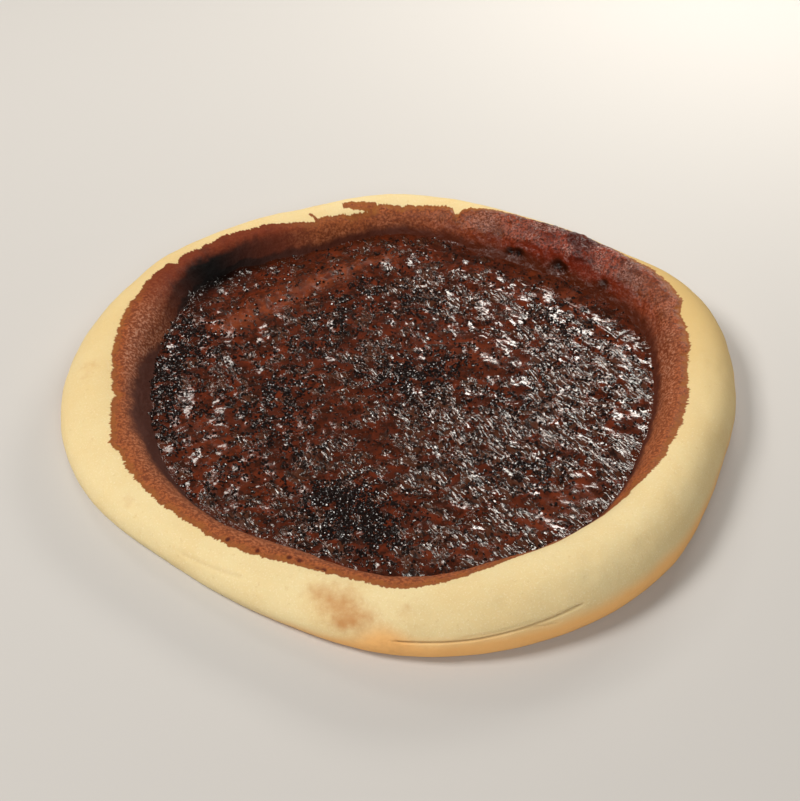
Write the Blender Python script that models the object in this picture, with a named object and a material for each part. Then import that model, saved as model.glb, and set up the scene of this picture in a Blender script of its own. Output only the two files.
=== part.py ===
"""Chocolate pizza: a risen, uneven rim of dough around a shallow dish of baked chocolate.

The constants are in millimetres and the scene is in metres. The pizza lies flat on z = 0, with +X to its
right and the side that is nearest a diner at -Y. Two solids make it:

crust             the dough, a flat disc with its thick rim
chocolate_spread  the chocolate, which fills the dish and climbs the rim, with its sugar granules
"""

import math
import random

import bmesh
import bpy
from mathutils import Vector, noise
from mathutils.bvhtree import BVHTree

MM = 0.001
COLLECTION = "chocolate_pizza"

# The rim at sixteen even directions, counter-clockwise from +X as seen from above. Each row holds the
# outer radius, the height of the crest, and the width from the outside to the foot of the inner wall.
RIM = (
    (159, 24, 41),
    (164, 26, 38),
    (151, 26, 29),
    (151, 25, 32),
    (160, 23, 30),
    (156, 23, 34),
    (161, 22, 29),
    (161, 23, 38),
    (161, 23, 45),
    (156, 21, 40),
    (146, 19, 29),
    (149, 20, 36),
    (160, 24, 37),
    (164, 27, 44),
    (161, 27, 41),
    (154, 25, 38),
)

# How far in from the outside the chocolate starts, at forty-eight even directions.
CHOCOLATE_EDGE = (
    24.0, 22.0, 21.2, 16.6, 13.1, 9.5, 7.0, 7.6, 9.4, 10.0, 15.5, 17.5, 18.2, 21.3, 20.8, 19.9,
    16.6, 14.0, 14.4, 13.8, 14.0, 16.8, 19.4, 22.6, 24.8, 25.0, 21.0, 18.5, 16.0, 13.5, 12.0, 12.5,
    14.0, 17.5, 20.0, 20.0, 18.0, 22.5, 28.0, 32.0, 33.5, 34.0, 32.5, 28.0, 24.0, 22.0, 21.5, 22.8,
)

# The section through the rim, from where it leaves the surface below, out and over the crest, to the foot
# of the inner wall. Each row holds the share of the width, counted inward from the outside, and the share
# of the height, which the inner wall counts from the floor of the dish.
SECTION = (
    (0.17, 0.0), (0.09, 0.03), (0.03, 0.12), (0.0, 0.30), (0.012, 0.48), (0.06, 0.66), (0.14, 0.82),
    (0.25, 0.94), (0.39, 1.0), (0.53, 0.985), (0.66, 0.90), (0.76, 0.73), (0.84, 0.49), (0.905, 0.26),
    (0.955, 0.09), (1.0, 0.0),
)
INNER_WALL_FROM = 0.55
FLOOR = 7.0
RIM_RELIEF = 0.7
RIM_RELIEF_LENGTH = 34.0

GAP = 0.35
FILM_EDGE = 0.25
FILM = 0.8
POOL_DEPTH = 2.8
POOL_RELIEF = 0.35
POOL_RELIEF_LENGTH = 16.0
MOUND_CENTRE = (39, 28)
MOUND_RADIUS = 20.0
MOUND_HEIGHT = 1.2
RIDGE_RADIUS = 104.0
RIDGE_FROM = 93.0
RIDGE_TO = 150.0
RIDGE_WIDTH = 5.0
RIDGE_HEIGHT = 1.5

SLICES = 90
OUTER_STEPS = 11
WALL_STEPS = 8
FLOOR_STEPS = 4
POOL_STEPS = 8

GRANULES = 200
GRANULE_SIZE = (1.7, 2.3)
GRANULE_SPACING = 9.0
GRANULE_MARGIN = 6.0
GRANULE_SEED = 27


def clear_scene():
    """Remove the objects of the scene."""
    for obj in list(bpy.data.objects):
        bpy.data.objects.remove(obj, do_unlink=True)


def material(name, colour, roughness):
    """A plain Principled material."""
    made = bpy.data.materials.new(name)
    made.use_nodes = True
    shader = made.node_tree.nodes["Principled BSDF"]
    shader.inputs["Base Color"].default_value = (*colour, 1.0)
    shader.inputs["Roughness"].default_value = roughness
    shader.inputs["Metallic"].default_value = 0.0
    return made


def blend(a, b, c, d, t):
    """A smooth curve from b to c, led by its neighbours a and d."""
    return b + 0.5 * t * (c - a + t * (2 * a - 5 * b + 4 * c - d + t * (3 * (b - c) + d - a)))


def smoothstep(low, high, value):
    """0 below low, 1 above high, and smooth between."""
    share = min(1.0, max(0.0, (value - low) / (high - low)))
    return share * share * (3.0 - 2.0 * share)


def around(values, angle):
    """Values that are even directions apart, read in between by a smooth closed curve."""
    place = angle / (2.0 * math.pi) * len(values)
    step = math.floor(place)
    return blend(*(values[(step + offset) % len(values)] for offset in (-1, 0, 1, 2)), place - step)


def rim_at(angle):
    """Outer radius, crest height and width of the rim in a direction."""
    return [around(column, angle) for column in zip(*RIM)]


def section_at(place):
    """Shares of width and height at a place from 0 to 1 along the section."""
    last = len(SECTION) - 1
    step = min(int(place * last), last - 1)
    rows = [SECTION[min(max(step + offset, 0), last)] for offset in (-1, 0, 1, 2)]
    return [blend(*column, place * last - step) for column in zip(*rows)]


def rim_point(angle, place):
    """Radius and height on the rim, in a direction and at a place along the section."""
    outer, crest, width = rim_at(angle)
    across, up = section_at(place)
    wall = FLOOR + up * (crest - FLOOR)
    inner = smoothstep(INNER_WALL_FROM - 0.15, INNER_WALL_FROM + 0.15, across)
    radius = outer - across * width
    height = up * crest + (wall - up * crest) * inner
    if place < 1.0:
        length = RIM_RELIEF_LENGTH
        spot = Vector((radius * math.cos(angle), radius * math.sin(angle), height)) / length
        relief = RIM_RELIEF * noise.noise(spot) * min(1.0, 4.0 * up)
        radius += relief
        height += relief * smoothstep(0.5, 1.0, up)
    return radius, max(height, 0.0)


def edge_place(angle):
    """The place along the section where the chocolate starts."""
    width = rim_at(angle)[2]
    reach = around(CHOCOLATE_EDGE, angle)
    low, high = 0.3, 0.95
    for _ in range(30):
        middle = (low + high) / 2.0
        if section_at(middle)[0] * width < reach:
            low = middle
        else:
            high = middle
    return low


def dough_row(angle):
    """Points of the dough's section in one direction, from the middle of its top to that of its bottom."""
    edge = edge_place(angle)
    foot, floor = rim_point(angle, 1.0)
    points = [(foot * step / FLOOR_STEPS, floor) for step in range(FLOOR_STEPS)]
    points += [rim_point(angle, 1.0 - (1.0 - edge) * step / WALL_STEPS) for step in range(WALL_STEPS)]
    points += [rim_point(angle, edge * (1.0 - step / OUTER_STEPS)) for step in range(OUTER_STEPS + 1)]
    points += [(points[-1][0] * 0.6, 0.0), (0.0, 0.0)]
    return points


def position(angle, point):
    """The place in space of a section point in a direction."""
    return Vector((point[0] * math.cos(angle), point[0] * math.sin(angle), point[1]))


def dough_rows(centre):
    """The whole grid of dough points, one row for each direction."""
    rows = []
    for slice_ in range(SLICES):
        angle = 2.0 * math.pi * slice_ / SLICES
        rows.append([position(angle, point) - centre for point in dough_row(angle)])
    return rows


def middle_of(rows):
    """The middle of the grid's bounding box, on the ground."""
    xs = [point.x for row in rows for point in row]
    ys = [point.y for row in rows for point in row]
    return Vector(((min(xs) + max(xs)) / 2.0, (min(ys) + max(ys)) / 2.0, 0.0))


def normal_at(rows, slice_, step):
    """The direction out of the dough at a point of its grid."""
    row = rows[slice_]
    ahead = rows[(slice_ + 1) % SLICES][step] - rows[slice_ - 1][step]
    outward = row[step + 1] - row[max(step - 1, 0)]
    if ahead.length < 1e-6:
        return Vector((0.0, 0.0, 1.0))
    return outward.cross(ahead).normalized()


def pool_height(x, y):
    """How far the top of the chocolate lies above the floor of the dish."""
    height = GAP + POOL_DEPTH
    height += POOL_RELIEF * noise.noise(Vector((x, y, 5.0)) / POOL_RELIEF_LENGTH)
    distance = math.hypot(x - MOUND_CENTRE[0], y - MOUND_CENTRE[1])
    height += MOUND_HEIGHT * (1.0 - smoothstep(0.3, 1.0, distance / MOUND_RADIUS))
    turn = math.degrees(math.atan2(y, x)) % 360.0
    along = smoothstep(RIDGE_FROM - 8.0, RIDGE_FROM + 8.0, turn)
    along *= 1.0 - smoothstep(RIDGE_TO - 8.0, RIDGE_TO + 8.0, turn)
    off = (math.hypot(x, y) - RIDGE_RADIUS) / RIDGE_WIDTH
    return height + RIDGE_HEIGHT * along * math.exp(-off * off)


def chocolate_rows(dough):
    """The grid of chocolate points: its top from the middle to the edge, then its underside back."""
    rim_steps = FLOOR_STEPS + WALL_STEPS
    rows = []
    for slice_, dough_line in enumerate(dough):
        foot = dough_line[FLOOR_STEPS]
        row = []
        for step in range(POOL_STEPS):
            spot = foot * (step / POOL_STEPS)
            spot.z = FLOOR + pool_height(spot.x, spot.y)
            row.append(spot)
        for step in range(FLOOR_STEPS, rim_steps + 1):
            share = (step - FLOOR_STEPS) / WALL_STEPS
            thick = FILM + (FILM_EDGE - FILM) * smoothstep(0.85, 1.0, share)
            spot = dough_line[step] + normal_at(dough, slice_, step) * (GAP + thick)
            spot.z = max(spot.z, FLOOR + pool_height(spot.x, spot.y))
            row.append(spot)
        for step in range(rim_steps, -1, -1):
            row.append(dough_line[step] + normal_at(dough, slice_, step) * GAP)
        rows.append(row)
    return rows


def closed_body(name, rows, turned_from):
    """A closed body through a grid of points, one row for each direction round the middle.

    Its quads are cut one way up to the column turned_from and the other way after it.
    """
    columns = len(rows[0])
    bm = bmesh.new()
    bmesh.ops.create_grid(bm, x_segments=columns - 1, y_segments=SLICES, size=0.5)

    def column_of(vertex):
        return round((vertex.co.x + 0.5) * (columns - 1))

    late = [face for face in bm.faces if min(map(column_of, face.verts)) >= turned_from]
    late_set = set(late)
    early = [face for face in bm.faces if face not in late_set]
    bmesh.ops.triangulate(bm, faces=early, quad_method="FIXED")
    bmesh.ops.triangulate(bm, faces=late, quad_method="ALTERNATE")
    for vertex in bm.verts:
        slice_ = round((vertex.co.y + 0.5) * SLICES) % SLICES
        vertex.co = rows[slice_][column_of(vertex)] * MM
    bmesh.ops.remove_doubles(bm, verts=bm.verts, dist=0.01 * MM)
    bmesh.ops.recalc_face_normals(bm, faces=bm.faces)
    mesh = bpy.data.meshes.new(name)
    bm.to_mesh(mesh)
    bm.free()
    mesh.shade_smooth()
    obj = bpy.data.objects.new(name, mesh)
    bpy.context.scene.collection.children[COLLECTION].objects.link(obj)
    return obj


def granule_places(random_, foot_at):
    """Places of the granules over the pool, evenly apart and the largest first."""
    sizes = sorted((random_.uniform(*GRANULE_SIZE) for _ in range(GRANULES)), reverse=True)
    places = []
    tries = 0
    while len(places) < GRANULES and tries < 60000:
        tries += 1
        angle = random_.uniform(0.0, 2.0 * math.pi)
        radius = 130.0 * math.sqrt(random_.random())
        if radius > foot_at(angle) - GRANULE_MARGIN:
            continue
        x, y = radius * math.cos(angle), radius * math.sin(angle)
        if any(math.hypot(x - px, y - py) < GRANULE_SPACING for px, py, _ in places):
            continue
        places.append((x, y, sizes[len(places)]))
    return places


def granule(name, place, surface, random_, collection):
    """One sugar granule, a small block sunk part of the way into the chocolate."""
    x, y, size = place
    hit = surface.ray_cast(Vector((x, y, 60.0)) * MM, Vector((0.0, 0.0, -1.0)))[0]
    mesh = bpy.data.meshes.new(name)
    bm = bmesh.new()
    bmesh.ops.create_cube(bm, size=size * MM)
    bm.to_mesh(mesh)
    bm.free()
    obj = bpy.data.objects.new(name, mesh)
    obj.location = hit + Vector((0.0, 0.0, 0.12 * size * MM))
    obj.rotation_euler = [random_.uniform(0.0, 2.0 * math.pi) for _ in range(3)]
    collection.objects.link(obj)


def add_granules(spread):
    """Join the granules to the chocolate."""
    random_ = random.Random(GRANULE_SEED)
    mesh = spread.data
    surface = BVHTree.FromPolygons([v.co for v in mesh.vertices], [p.vertices for p in mesh.polygons])
    collection = bpy.data.collections.new("granules")
    bpy.context.scene.collection.children.link(collection)
    places = granule_places(random_, lambda angle: rim_point(angle, 1.0)[0])
    for number, place in enumerate(places):
        granule(f"granule_{number:03d}", place, surface, random_, collection)
    union = spread.modifiers.new("granules", "BOOLEAN")
    union.operation = "UNION"
    union.operand_type = "COLLECTION"
    union.collection = collection
    union.solver = "EXACT"
    graph = bpy.context.evaluated_depsgraph_get()
    joined = bpy.data.meshes.new_from_object(spread.evaluated_get(graph))
    spread.modifiers.clear()
    spread.data = joined
    joined.name = spread.name
    for obj in list(collection.objects):
        bpy.data.objects.remove(obj, do_unlink=True)
    bpy.data.collections.remove(collection)


def main():
    """Build the pizza."""
    clear_scene()
    bpy.context.scene.collection.children.link(bpy.data.collections.new(COLLECTION))
    centre = middle_of(dough_rows(Vector((0.0, 0.0, 0.0))))
    dough = dough_rows(centre)
    crust = closed_body("crust", dough, turned_from=len(dough[0]))
    crust.data.materials.append(material("baked_dough", (0.76, 0.60, 0.31), 0.75))
    top_columns = POOL_STEPS + WALL_STEPS + 1
    spread = closed_body("chocolate_spread", chocolate_rows(dough), turned_from=top_columns)
    spread.data.materials.append(material("baked_chocolate", (0.09, 0.025, 0.012), 0.35))
    add_granules(spread)


main()
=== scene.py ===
"""Chocolate pizza: dough, baked chocolate and sugar granules, on a pale studio floor."""

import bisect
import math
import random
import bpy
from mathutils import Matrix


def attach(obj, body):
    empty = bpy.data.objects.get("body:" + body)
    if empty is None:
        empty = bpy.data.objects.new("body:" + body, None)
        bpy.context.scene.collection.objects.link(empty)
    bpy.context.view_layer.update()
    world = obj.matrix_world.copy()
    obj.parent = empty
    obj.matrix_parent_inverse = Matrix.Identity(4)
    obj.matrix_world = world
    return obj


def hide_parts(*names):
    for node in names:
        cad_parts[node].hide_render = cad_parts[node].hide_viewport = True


bl_info = {
    "name": "Chocolate Pizza",
    "version": (1, 0, 0),
    "blender": (4, 5, 0),
    "location": "View3D > Sidebar > Pizza",
    "description": "Models a baked chocolate pizza and the studio it stands in",
    "category": "Object",
}

import bmesh
import bpy
from mathutils import Matrix, Vector, noise
from mathutils.bvhtree import BVHTree

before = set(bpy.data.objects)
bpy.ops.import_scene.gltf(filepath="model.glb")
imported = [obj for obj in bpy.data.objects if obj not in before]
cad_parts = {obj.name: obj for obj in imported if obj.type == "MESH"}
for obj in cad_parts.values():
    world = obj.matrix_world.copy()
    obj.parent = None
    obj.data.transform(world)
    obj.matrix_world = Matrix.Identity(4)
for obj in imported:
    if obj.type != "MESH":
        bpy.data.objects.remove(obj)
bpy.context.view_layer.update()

MM = 0.001
BODY = "root"

# Lengths are in millimetres, and directions in degrees counter-clockwise from +X, seen from above.

# The rim at sixteen even directions: outer radius, height of the crest, and width from the outside
# to the foot of the inner wall.
RIM = (
    (159, 24, 41), (164, 26, 38), (151, 26, 29), (151, 25, 32), (160, 23, 30), (156, 23, 34),
    (161, 22, 29), (161, 23, 38), (161, 23, 45), (156, 21, 40), (146, 19, 29), (149, 20, 36),
    (160, 24, 37), (164, 27, 44), (161, 27, 41), (154, 25, 38),
)

# How far in from the outside the chocolate starts, at forty-eight even directions.
CHOCOLATE_EDGE = (
    24.0, 22.0, 21.2, 16.6, 13.1, 9.5, 7.0, 7.6, 9.4, 10.0, 15.5, 17.5, 18.2, 21.3, 20.8, 19.9,
    16.6, 14.0, 14.4, 13.8, 14.0, 16.8, 19.4, 22.6, 24.8, 25.0, 21.0, 18.5, 16.0, 13.5, 12.0, 12.5,
    14.0, 17.5, 20.0, 20.0, 18.0, 22.5, 28.0, 32.0, 33.5, 34.0, 32.5, 28.0, 24.0, 22.0, 21.5, 22.8,
)

# Tongues (less than 0) and bays (more than 0) along that edge: direction, depth and half width.
EDGE_BAYS = (
    (77.0, 4.5, 0.8), (89.0, 1.8, 1.0), (94.0, -2.5, 1.6), (141.4, 3.0, 0.9), (110.0, 1.0, 1.5),
    (118.0, -0.8, 2.0), (153.0, 1.2, 1.2), (132.0, 1.0, 1.6), (20.5, -1.5, 1.0), (16.5, 1.6, 1.4),
    (186.0, 1.4, 1.2), (200.0, -1.2, 1.5),
)

# The section through the rim, from where it leaves the ground, out and over the crest, to the foot
# of the inner wall: share of the width, counted inward, and share of the height.
SECTION = (
    (0.17, 0.0), (0.09, 0.03), (0.03, 0.12), (0.0, 0.3), (0.012, 0.48), (0.06, 0.66), (0.14, 0.82),
    (0.25, 0.94), (0.39, 1.0), (0.53, 0.985), (0.66, 0.9), (0.76, 0.73), (0.84, 0.49),
    (0.905, 0.26), (0.955, 0.09), (1.0, 0.0),
)
INNER_WALL_FROM = 0.55
INNER_WALL_BLEND = 0.15
FLOOR = 7.0
RIM_RELIEF = 0.7
RIM_RELIEF_LENGTH = 34.0

# The chocolate: gap to the dough, thickness on the rim, swellings, mound and ridge.
GAP = 0.35
FILM_THICKNESS = 0.8
POOL_RELIEF = 0.35
POOL_RELIEF_LENGTH = 16.0
MOUND_CENTRE = (39, 28)
MOUND_RADIUS = 20.0
MOUND_HEIGHT = 1.2
RIDGE_RADIUS = 104.0
RIDGE_FROM = 93.0
RIDGE_TO = 150.0
RIDGE_WIDTH = 5.0
RIDGE_HEIGHT = 1.5
RIDGE_FADE = 8.0

# The solids: slices of the dough, and the granules, which the scene's own begin with.
CAD_SLICES = 90
CAD_GRANULES = 200
CAD_GRANULE_SIZE = (1.7, 2.3)
CAD_GRANULE_SPACING = 9.0
CAD_GRANULE_REACH = 130.0
CAD_GRANULE_MARGIN = 6.0
CAD_GRANULE_TRIES = 60000
CAD_GRANULE_SHRINK = 0.8

# The small granules: how far out and how near the pool's edge they lie, and their sizes. Every
# granule's middle and corners are moved by a share of its size.
GRANULE_SEED = 27
GRANULE_REACH = 138.0
GRANULE_MARGIN = 1.5
GRANULE_SIZE = (0.8, 1.6)
GRANULE_LIFT = 0.12
GRANULE_ROUGHNESS = 0.09
GRANULES_AT_ONCE = 80

# Where the granules lie thickest: place on the pool, reach and share of them.
GRANULE_CLUSTERS = (
    (-116, 5, 12, 1.0), (-112, 26, 12, 1.0), (-107, 49, 12, 0.8), (-114, -14, 11, 0.7),
    (-112, -34, 11, 0.6), (-21, -82, 18, 1.0), (-9, -99, 12, 0.7), (-34, -73, 13, 0.6),
    (-33, -99, 11, 0.4), (10, 14, 15, 0.7), (-9, 14, 13, 0.5), (9, -6, 12, 0.5), (23, 25, 12, 0.4),
    (-56, 4, 15, 0.6), (-62, -15, 13, 0.4), (-54, -35, 14, 0.45), (59, -55, 13, 0.6),
    (40, -55, 12, 0.4), (80, 57, 13, 0.6), (-31, 59, 14, 0.6), (-17, 82, 13, 0.4),
    (11, 70, 15, 0.6), (-44, 37, 14, 0.5), (62, -7, 12, 0.45), (42, -6, 12, 0.4),
    (-92, 37, 13, 0.4), (-80, -60, 20, 0.25), (-85, -10, 20, 0.25), (95, 0, 18, 0.25),
    (75, 25, 16, 0.3),
)

# Where the skin is thickly wrinkled: place on the pool, reach and share.
WRINKLED = (
    (84, 13, 17, 1.0), (60, -36, 15, 0.9), (75, -17, 14, 0.8), (73, 46, 15, 0.5),
    (40, -64, 15, 1.0), (48, -26, 12, 0.9), (11, 82, 15, 0.8), (16, -16, 14, 1.0),
    (82, -83, 14, 0.7), (56, -100, 14, 0.7), (90, -42, 14, 0.6), (45, 48, 11, 0.2),
    (9, -55, 14, 0.9), (110, 5, 14, 0.6), (-16, 25, 13, 0.8), (28, -36, 13, 0.8), (32, 70, 13, 0.5),
    (100, -58, 13, 0.5), (110, 32, 10, 0.2), (-45, -95, 16, 0.6), (-30, -50, 15, 0.6),
    (-50, 55, 14, 0.35), (-75, -80, 15, 0.35), (20, -105, 15, 0.8), (-88, 15, 12, 0.3),
    (40, 29, 13, -0.8),
)

# Creases in the outside of the rim: direction and height of each point, then depth and width.
CREASES = (
    (((269, 11.5), (275, 12), (280, 12.6), (284, 13.6), (288, 14.6), (292, 15.6), (297, 17)),
     0.9, 0.45),
    (((279, 13.9), (285, 15.3), (290, 16.6)), 0.35, 0.4),
    (((288, 14.6), (291, 13.2), (293, 13.0)), 0.5, 0.4),
    (((229, 12.5), (236, 14), (242, 16)), 0.35, 1.2),
)

# Small dents in the rim: place, radius and depth.
DENTS = (
    (42, -148, 23, 3.0, 0.35), (78, -126, 27, 4.0, 0.35), (77, -134, 23, 3.0, 0.3),
    (102, -116, 22, 4.0, 0.35), (67, -127, 27, 2.5, 0.3), (137, -24, 24, 3.5, 0.3),
    (147, 5, 23, 3.0, 0.5), (151, 2, 21, 3.0, 0.5), (-119, -80, 17, 5.0, 0.3),
)

# Toasted blotches on the rim: place, radius and strength.
TOAST = (
    (-26, -145, 20, 11.0, 0.7), (-20, -151, 15, 7.0, 0.35), (-36, -138, 22, 6.0, 0.4),
    (-25, -151, 14, 2.2, 0.5), (-20, -151, 16, 1.8, 0.4), (-13, -151, 18, 5.0, 0.35),
    (-31, -143, 22, 2.5, 0.3), (-147, 8, 23, 6.0, 0.35), (-147, -2, 23, 4.0, 0.3),
    (-119, -80, 17, 5.0, 0.3), (3, -150, 23, 4.0, 0.3), (-3, -157, 11, 12.0, 0.35),
    (-120, 105, 20, 7.0, 0.3), (60, 148, 18, 8.0, 0.4), (-60, 142, 15, 9.0, 0.35),
    (148, 60, 15, 7.0, 0.3), (150, -40, 16, 6.0, 0.25),
)

# Hollows in the chocolate on the rim: place, radius and depth. They are painted dark as well:
# painted shade in the dents, and char at the small ones.
HOLLOWS = (
    (82, 96, 14, 3.6, 2.0), (85, 94, 14, 2.6, 1.2), (62, 107, 14, 2.8, 1.0),
    (58, 109, 14, 2.2, 0.6), (105, 78, 16, 3.0, 0.6), (-36, -126.5, 20, 1.4, 0.5),
    (-33, -127.5, 20.5, 1.3, 0.5), (-43, -121, 20, 1.1, 0.3), (-47.5, -119.5, 19, 1.0, 0.3),
    (-61, -115, 20, 1.0, 0.3), (-74, -108, 19, 1.0, 0.3),
)

# Streaks of chocolate above its edge: from, to and half width.
SMEARS = (
    ((-27, 141, 23), (-14, 140.5, 21.5), 3.2), ((-14, 140.5, 21.5), (-6, 137, 18), 2.6),
    ((-46, 132.5, 23), (-43, 128.5, 22), 1.0),
)

# Redder, smoother stretches of the pool: from, to, half width and strength.
RED_STRETCHES = (
    ((-87, 50), (-68, 68), 7.0, 0.9), ((-68, 68), (-51, 82), 7.0, 1.0),
    ((-51, 82), (-28, 98), 6.0, 1.0), ((-28, 98), (-5, 110), 4.5, 0.8),
    ((32, 30), (46, 26), 12.0, 0.2), ((-90, -25), (-75, -60), 12.0, 0.25),
    ((66, 92), (90, 70), 9.0, 0.35), ((60, -88), (80, -70), 8.0, 0.3),
    ((10, -108), (45, -108), 6.0, 0.3),
)

# Long glossy ripples in the pool: from, to and height.
RIPPLE_WIDTH = 1.5
RIPPLES = (
    ((-12, 122), (2, 120), 0.4), ((2, 120), (22, 114), 0.5), ((22, 114), (38, 109), 0.4),
    ((80, 72), (94, 57), 0.6), ((92, 56), (108, 38), 0.6), ((88, 40), (103, 24), 0.5),
    ((50, 98), (62, 86), 0.5), ((24, 20), (33, 8), 0.2), ((38, 44), (56, 34), 0.2),
    ((20, 44), (34, 40), 0.2),
)

# Where the dough is coloured as if it lay higher or lower: direction, half width and how much. The
# turn at 314 degrees colours the lower right flank as if lower, gold-brown and darker, which is
# painted shade. The last is a single place, with a radius.
TONED_TURNS = ((220.0, 36.0, 14.0), (281.0, 20.0, -4.0), (314.0, 20.0, -4.0))
TONED_PLACE = ((-7.0, -152.0, 14.0), 12.0, -7.0)

# The dough's grid: steps over the floor of the dish and up the wall. The stain and the streaks
# count from a place along the section on, and the creases above a height.
FLOOR_STEPS = 3
WALL_STEPS = 16
STAIN_FROM = 0.35
SMEARS_FROM = 0.3
FAR_OUTSIDE = -9.0
CREASES_ABOVE = 4.0
CREASE_MARGIN = 6.0
MM_PER_DEGREE = 2.75
STILL_BELOW = 0.6
WALL_BASE = 10.0

# The film's grid: slices, and steps along its top and back along its underside. It ends at a place
# along the section, with its thin edge and its underside sunk into the dough.
FILM_SLICES = 1080
FILM_TOP_STEPS = 46
FILM_UNDER_STEPS = 8
FILM_FOOT = 0.96
FILM_START = 0.8
FILM_EDGE_SUNK = 0.12
FILM_UNDERSIDE = 0.7
STEP_BACK = 0.004

# The pool: half its grid, the share of the rim's width that its edge lies in, and how it climbs the
# film along its shore.
POOL_HALF = 141.0
POOL_SHARE = 0.88
SHORE_WIDTH = 14.0
SHORE_DROP = 1.7
SHORE_BLEND = 0.7
SKIRT_HEIGHT = 0.4

# Colours that the finishes mix, beside those in the settings.
BROWN_DARK, BROWN_LIGHT = (0.165, 0.038, 0.01), (0.39, 0.108, 0.03)
# FILM_SHEEN_FLECK is the pale rosy colour of the painted sheen's specks.
FILM_DARK, FILM_SHEEN_FLECK, FILM_THIN = (0.15, 0.032, 0.009), (0.44, 0.22, 0.14), (0.235, 0.066, 0.016)
WINE_DARK, WINE_LIGHT = (0.036, 0.0045, 0.0022), (0.255, 0.035, 0.013)
# WINE_PAINTED_SHADE is a near black for the painted shade between the blisters' bulges.
WINE_PAINTED_SHADE = (0.04, 0.005, 0.0025)
# PAINTED_GLINT is the pale rosy colour of painted glints on the blistered chocolate.
# PAINTED_SHADE_AMBER is a dark tint of painted shade for the far left of the rim.
PAINTED_GLINT, EMBER, PAINTED_SHADE_AMBER = (0.4, 0.19, 0.15), (0.15, 0.015, 0.004), (0.135, 0.015, 0.0015)
# The foot of the wall has the chocolate's own darker colour; on the far left it goes near black,
# which is painted shade.
WALL_FOOT, WALL_PAINTED_SHADE = (0.07, 0.012, 0.003), (0.002, 0.0008, 0.0005)
FLOUR_WARM, FLOUR_SPOT, FLOUR_DUST = (0.745, 0.58, 0.3), (0.6, 0.42, 0.2), (0.88, 0.76, 0.5)
# CREASE_SHADE_BROWN darkens the creases: painted shade.
# GOLDEN_TOP_AND_SHADE is the gold tint of the rim's top, deepened on the far right as painted
# shade.
GOLDEN_TOP_AND_SHADE, CREASE_SHADE_BROWN = (0.62, 0.42, 0.16), (0.34, 0.19, 0.08)
POOL_CLOUD, POOL_RED = (0.126, 0.0205, 0.006), (0.24, 0.048, 0.012)
POOL_MOTTLE = (0.025, 0.0062, 0.0023)
# The wrinkles' valleys are near black, painted shade, and their ridges lighter, a painted highlight
# over a paler milky surface.
SKIN_VALLEY_SHADE, SKIN_RIDGE_HIGHLIGHT = (0.0075, 0.0038, 0.0024), (0.064, 0.021, 0.0095)
CRUMB, SUGAR_LIGHT = (0.005, 0.0026, 0.002), (0.022, 0.009, 0.006)

# The lights, all aimed at the middle of the pizza: name, place and size in metres, and colour.
SOFT, WARM = (1.0, 0.97, 0.92), (1.0, 0.96, 0.88)
SOFTBOXES = (
    ("key", (-1.76, -0.26, 2.11), (0.92, 0.92), SOFT),
    ("back", (0.29, 0.55, 0.34), (0.37, 0.112), WARM),
    ("left", (-0.32, 0.52, 0.5), (0.15, 0.105), WARM),
    ("fill", (0.33, -2.64, 2.2), (2.2, 1.54), SOFT),
)

# The camera: its place, its aim and its turn about its own axis.
CAMERA_PLACE = (0.0, -648.08, 551.43)
CAMERA_AIM = (-0.44, 6.05, 0.0)
CAMERA_ROLL = -0.5


def colour_setting(name, description, default):
    """A colour."""
    return bpy.props.FloatVectorProperty(
        name=name, description=description, subtype="COLOR", size=3, default=default, min=0.0,
        max=1.0)


def number_setting(name, description, default, unit="NONE"):
    """A number that isn't less than 0."""
    return bpy.props.FloatProperty(
        name=name, description=description, default=default, min=0.0, unit=unit)


def power_setting(name, place, default):
    """The power of a light."""
    return number_setting(name, f"Power of the light {place}, in watts", default, "POWER")


def count_setting(name, description, default, least, most):
    """A whole number."""
    return bpy.props.IntProperty(
        name=name, description=description, default=default, min=least, max=most)


class DoughSettings(bpy.types.PropertyGroup):
    """Sizes and colours of the dough."""

    slices: count_setting("Slices", "Steps round the pizza", 480, 90, 720)
    rim_steps: count_setting("Rim Steps", "Steps over the outside of the rim", 96, 16, 120)
    bubbling: number_setting("Bubbling", "Height of the soft swellings, in millimetres", 0.35)
    pale: colour_setting("Pale Dough", "Floury top of the rim", (0.765, 0.625, 0.345))
    golden: colour_setting("Golden Dough", "Baked lower side of the rim", (0.88, 0.455, 0.145))
    toasted: colour_setting("Toasted Dough", "Browned blotches", (0.5, 0.23, 0.075))


class ChocolateSettings(bpy.types.PropertyGroup):
    """Sizes and colours of the chocolate."""

    pool_depth: number_setting("Pool Depth", "Depth in the dish, in millimetres", 2.8)
    film: number_setting("Film", "Thickness on the rim, in millimetres", FILM_THICKNESS)
    pool_cells: count_setting("Pool Cells", "Cells across the pool", 340, 60, 350)
    granules: count_setting("Granules", "Number of sugar granules", 8000, 200, 9000)
    pool_colour: colour_setting("Pool", "Baked chocolate in the dish", (0.06, 0.0115, 0.0042))
    film_colour: colour_setting("Film", "Dry chocolate on the rim", (0.35, 0.084, 0.019))
    stain_colour: colour_setting("Stain", "Thin edge of the chocolate", (0.29, 0.09, 0.016))
    granule_colour: colour_setting("Granules", "Sugar granules", (0.005, 0.004, 0.004))


class StudioSettings(bpy.types.PropertyGroup):
    """Floor and lights."""

    floor_colour: colour_setting("Floor", "Pale studio floor", (0.56, 0.54, 0.52))
    ambient: number_setting("Ambient", "Strength of the light from all round", 0.06)
    key: power_setting("Key", "on the left", 58.5)
    back: power_setting("Back", "behind", 2.35)
    left: power_setting("Left", "behind on the left", 0.75)
    fill: power_setting("Fill", "in front", 56.0)


def blend(a, b, c, d, t):
    """A smooth curve from b to c, led by its neighbours a and d."""
    return b + 0.5 * t * (c - a + t * (2 * a - 5 * b + 4 * c - d + t * (3 * (b - c) + d - a)))


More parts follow.
